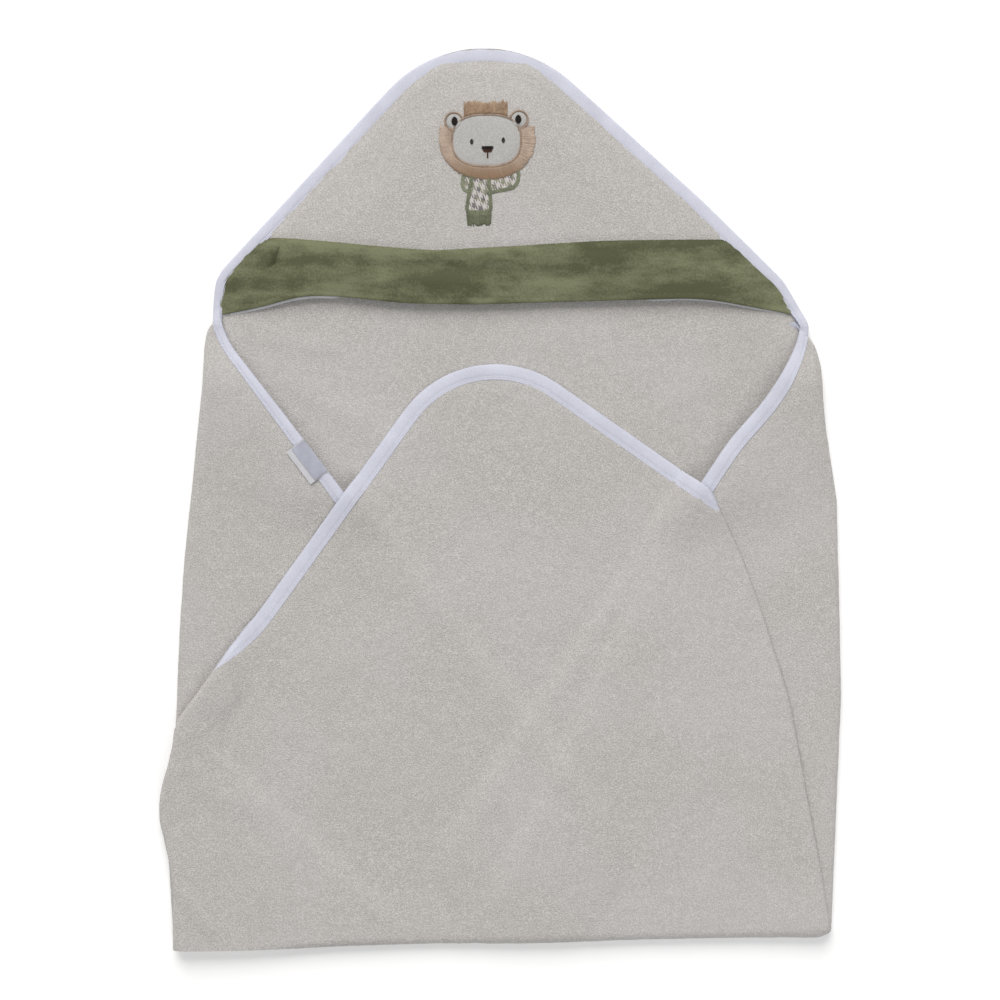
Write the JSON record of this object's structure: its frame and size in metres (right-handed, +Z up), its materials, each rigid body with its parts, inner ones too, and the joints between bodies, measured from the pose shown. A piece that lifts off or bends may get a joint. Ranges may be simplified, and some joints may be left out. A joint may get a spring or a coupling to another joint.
{
  "type": "hooded baby towel",
  "caption": "Hooded baby towel in looped terry, folded flat with its side and lower corners in, with a bound edge, a velour-trimmed hood and an embroidered cub.",
  "frame": {"origin": "on the surface the folded towel lies on, below the middle of its outline", "axes": "+Z up out of the surface, +Y from the folded lower edge to the tip of the hood, +X to the wearer's left, which is the right of the folded towel seen from above"},
  "size_m": [0.449, 0.5987, 0.0128],
  "materials": {
    "terry": "looped cotton terry, off-white",
    "velour": "cotton velour, sage green",
    "facing_cloth": "thin woven cotton, white",
    "binding_tape": "knitted cotton tape, white",
    "white_thread": "polyester sewing thread, white",
    "applique_cloth": "short-pile fleece, cream",
    "tan_thread": "satin-stitched embroidery thread, tan",
    "brown_thread": "satin-stitched embroidery thread, dark brown",
    "sage_thread": "satin-stitched embroidery thread, sage green",
    "scarf_cloth": "printed woven cotton, small broken check",
    "satin_label": "woven satin ribbon, blank",
    "care_label_cloth": "printed-label satin, blank"
  },
  "bodies": {
    "towel": {"towel_back_panel": "terry", "towel_left_flap": "terry", "towel_right_flap": "terry", "left_flap_binding": "binding_tape", "right_flap_binding": "binding_tape", "left_flap_topstitch": "white_thread", "right_flap_topstitch": "white_thread"},
    "bottom_flap": {"towel_bottom_flap": "terry", "towel_right_under_fold": "terry", "towel_left_under_fold": "terry", "bottom_flap_binding": "binding_tape", "right_under_fold_binding": "binding_tape", "left_under_fold_binding": "binding_tape", "bottom_flap_topstitch": "white_thread"},
    "labels": {"brand_label": "satin_label", "care_label": "care_label_cloth"},
    "hood": {"applique_eyes": "brown_thread", "applique_face": "applique_cloth", "applique_inner_ears": "brown_thread", "applique_mane": "tan_thread", "applique_nose": "brown_thread", "applique_outline": "tan_thread", "applique_scarf_border": "sage_thread", "applique_scarf_end": "scarf_cloth", "applique_scarf_fringe": "sage_thread", "applique_scarf_loop": "scarf_cloth", "applique_scarf_tail": "scarf_cloth", "applique_tuft": "tan_thread", "hood_band": "velour", "hood_band_facing": "facing_cloth", "hood_band_topstitch": "sage_thread", "hood_binding": "binding_tape", "hood_binding_topstitch": "white_thread", "hood_panel": "terry", "towel_hood_corner": "terry"}
  },
  "joints": [
    {"name": "hood_fold", "type": "hinge", "parent": "towel", "child": "hood", "pos_m": [0, 0.122, 0.0125], "axis": [1, 0, 0], "range_deg": [0, 180]},
    {"name": "bottom_flap_fold", "type": "hinge", "parent": "towel", "child": "bottom_flap", "pos_m": [0, -0.296, 0.0065], "axis": [1, 0, 0], "range_deg": [0, 180]},
    {"name": "labels_lift", "type": "hinge", "parent": "towel", "child": "labels", "pos_m": [-0.121, 0.031, 0.0084], "axis": [-0.606, 0.7955, 0], "range_deg": [0, 170]}
  ]
}
